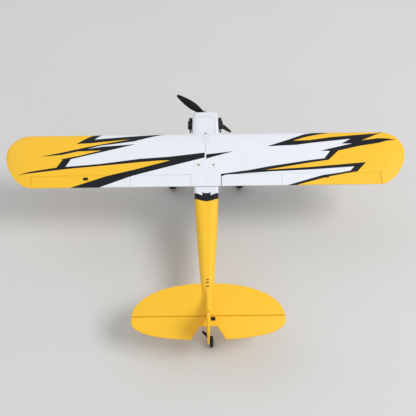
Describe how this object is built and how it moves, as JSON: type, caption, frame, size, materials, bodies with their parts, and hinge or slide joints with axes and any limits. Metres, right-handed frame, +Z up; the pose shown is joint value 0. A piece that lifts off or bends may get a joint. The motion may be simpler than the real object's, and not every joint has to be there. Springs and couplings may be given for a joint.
{
  "type": "radio-controlled foam aeroplane",
  "caption": "High-wing foam model aeroplane of the bush-plane kind with a tail wheel, moving control surfaces, servo linkages, a turning propeller and rolling wheels.",
  "frame": {"origin": "on the ground, below the middle of the bounding box of the aeroplane standing on its three wheels", "axes": "+X towards the right wing tip, +Y towards the nose, +Z up"},
  "size_m": [1.308, 0.9018, 0.3349],
  "materials": {
    "white_foam": "moulded foam with a fine bead texture, white",
    "yellow_foam": "moulded foam with a fine bead texture, warm yellow",
    "black_plastic": "moulded nylon, black",
    "white_plastic": "moulded plastic, white",
    "clear_plastic": "clear smoked plastic sheet",
    "rubber": "soft rubber, matt black",
    "steel": "plated steel wire and machined metal",
    "brass": "plain brass, satin",
    "carbon": "pultruded carbon tube, satin black",
    "plywood": "light plywood, bare",
    "servo_blue": "translucent blue plastic case",
    "battery_wrap": "shrink wrap, dark"
  },
  "bodies": {
    "airframe": {"wing_left": "white_foam", "wing_right": "white_foam", "fuselage_left": "yellow_foam", "fuselage_right": "yellow_foam", "stabilizer": "yellow_foam", "fin": "yellow_foam", "gear_fairing_left": "yellow_foam", "gear_fairing_right": "yellow_foam", "cylinders_left": "black_plastic", "cylinders_right": "black_plastic", "speed_controller": "black_plastic", "receiver": "black_plastic", "tailwheel_bracket": "black_plastic", "nose_cowl": "white_plastic", "wing_strut_left": "white_plastic", "wing_strut_right": "white_plastic", "windshield": "clear_plastic", "window_left": "clear_plastic", "window_right": "clear_plastic", "motor_stator": "steel", "landing_gear_left": "steel", "landing_gear_right": "steel", "wing_bolt_left": "brass", "wing_bolt_right": "brass", "wing_spar": "carbon", "firewall": "plywood", "equipment_tray": "plywood", "aileron_servo_left": "servo_blue", "aileron_servo_right": "servo_blue", "elevator_servo": "servo_blue", "rudder_servo": "servo_blue", "battery_pack": "battery_wrap"},
    "hatch": {"hatch": "white_foam"},
    "propeller": {"propeller": "black_plastic", "prop_adapter": "steel", "motor_bell": "black_plastic"},
    "flap_left": {"flap_left": "white_foam"},
    "flap_right": {"flap_right": "white_foam"},
    "aileron_left": {"aileron_left": "yellow_foam", "aileron_horn_left": "black_plastic"},
    "aileron_right": {"aileron_right": "yellow_foam", "aileron_horn_right": "black_plastic"},
    "aileron_arm_left": {"aileron_arm_left": "white_plastic"},
    "aileron_arm_right": {"aileron_arm_right": "white_plastic"},
    "aileron_rod_left": {"aileron_rod_left": "steel"},
    "aileron_rod_right": {"aileron_rod_right": "steel"},
    "elevator": {"elevator": "yellow_foam", "elevator_horn": "black_plastic"},
    "elevator_arm": {"elevator_arm": "white_plastic"},
    "elevator_rod": {"elevator_rod": "steel"},
    "rudder": {"rudder": "yellow_foam", "rudder_horn": "black_plastic"},
    "rudder_arm": {"rudder_arm": "white_plastic"},
    "rudder_rod": {"rudder_rod": "steel"},
    "tail_steering": {"tailwheel_fork": "steel"},
    "tailwheel": {"tailwheel": "rubber"},
    "wheel_left": {"wheel_tyre_left": "rubber", "wheel_hub_left": "white_plastic"},
    "wheel_right": {"wheel_tyre_right": "rubber", "wheel_hub_right": "white_plastic"}
  },
  "joints": [
    {"name": "propeller_spin", "type": "hinge", "parent": "airframe", "child": "propeller", "pos_m": [0, 0.43012, 0.23176], "axis": [0, 0.9882, 0.153], "continuous": true},
    {"name": "hatch_tilt", "type": "hinge", "parent": "airframe", "child": "hatch", "pos_m": [0, 0.37454, 0.26788], "axis": [-1, 0, 0], "range_deg": [0, 100]},
    {"name": "flap_right", "type": "hinge", "parent": "airframe", "child": "flap_right", "pos_m": [0.1449, 0.07029, 0.28141], "axis": [1, 0, 0], "range_deg": [0, 35]},
    {"name": "flap_left", "type": "hinge", "parent": "airframe", "child": "flap_left", "pos_m": [-0.1449, 0.07029, 0.28141], "axis": [1, 0, 0], "range_deg": [0, 35]},
    {"name": "aileron_right", "type": "hinge", "parent": "airframe", "child": "aileron_right", "pos_m": [0.40025, 0.07029, 0.28141], "axis": [1, 0, 0], "range_deg": [-24, 24]},
    {"name": "aileron_left", "type": "hinge", "parent": "airframe", "child": "aileron_left", "pos_m": [-0.40025, 0.07029, 0.28141], "axis": [1, 0, 0], "range_deg": [-24, 24]},
    {"name": "aileron_arm_right", "type": "hinge", "parent": "airframe", "child": "aileron_arm_right", "pos_m": [0.384, 0.12353, 0.28397], "axis": [1, 0, 0], "range_deg": [-24, 24]},
    {"name": "aileron_rod_right", "type": "hinge", "parent": "aileron_arm_right", "child": "aileron_rod_right", "pos_m": [0.384, 0.12628, 0.26618], "axis": [1, 0, 0], "range_deg": [-24, 24]},
    {"name": "aileron_arm_left", "type": "hinge", "parent": "airframe", "child": "aileron_arm_left", "pos_m": [-0.384, 0.12353, 0.28397], "axis": [1, 0, 0], "range_deg": [-24, 24]},
    {"name": "aileron_rod_left", "type": "hinge", "parent": "aileron_arm_left", "child": "aileron_rod_left", "pos_m": [-0.384, 0.12628, 0.26618], "axis": [1, 0, 0], "range_deg": [-24, 24]},
    {"name": "elevator", "type": "hinge", "parent": "airframe", "child": "elevator", "pos_m": [0, -0.36109, 0.13962], "axis": [1, 0, 0], "range_deg": [-24, 24]},
    {"name": "elevator_arm", "type": "hinge", "parent": "airframe", "child": "elevator_arm", "pos_m": [0.014, 0.13733, 0.16214], "axis": [1, 0, 0], "range_deg": [-24, 24]},
    {"name": "elevator_rod", "type": "hinge", "parent": "elevator_arm", "child": "elevator_rod", "pos_m": [0.014, 0.13978, 0.14633], "axis": [1, 0, 0], "range_deg": [-24, 24]},
    {"name": "rudder", "type": "hinge", "parent": "airframe", "child": "rudder", "pos_m": [0, -0.40054, 0.16893], "axis": [0, -0.153, 0.9882], "range_deg": [-24, 24]},
    {"name": "rudder_arm", "type": "hinge", "parent": "airframe", "child": "rudder_arm", "pos_m": [0, 0.09719, 0.15998], "axis": [0, -0.153, 0.9882], "range_deg": [-24, 24]},
    {"name": "rudder_rod", "type": "hinge", "parent": "rudder_arm", "child": "rudder_rod", "pos_m": [-0.016, 0.09719, 0.15998], "axis": [0, -0.153, 0.9882], "range_deg": [-24, 24]},
    {"name": "tail_steering", "type": "hinge", "parent": "airframe", "child": "tail_steering", "pos_m": [0, -0.38754, 0.08493], "axis": [0, -0.153, 0.9882], "range_deg": [-24, 24]},
    {"name": "tailwheel_spin", "type": "hinge", "parent": "tail_steering", "child": "tailwheel", "pos_m": [0.009, -0.37861, 0.0175], "axis": [1, 0, 0], "continuous": true},
    {"name": "wheel_right_spin", "type": "hinge", "parent": "airframe", "child": "wheel_right", "pos_m": [0.127, 0.28935, 0.043], "axis": [1, 0, 0], "continuous": true},
    {"name": "wheel_left_spin", "type": "hinge", "parent": "airframe", "child": "wheel_left", "pos_m": [-0.127, 0.28935, 0.043], "axis": [1, 0, 0], "continuous": true}
  ],
  "couplings": [
    {"joint": "flap_left", "follows": "flap_right", "ratio": 1},
    {"joint": "aileron_left", "follows": "aileron_right", "ratio": -1},
    {"joint": "aileron_arm_right", "follows": "aileron_right", "ratio": 1},
    {"joint": "aileron_rod_right", "follows": "aileron_right", "ratio": -1},
    {"joint": "aileron_arm_left", "follows": "aileron_right", "ratio": -1},
    {"joint": "aileron_rod_left", "follows": "aileron_right", "ratio": 1},
    {"joint": "elevator_arm", "follows": "elevator", "ratio": 1},
    {"joint": "elevator_rod", "follows": "elevator", "ratio": -1},
    {"joint": "rudder_arm", "follows": "rudder", "ratio": 1},
    {"joint": "rudder_rod", "follows": "rudder", "ratio": -1},
    {"joint": "tail_steering", "follows": "rudder", "ratio": 1}
  ]
}
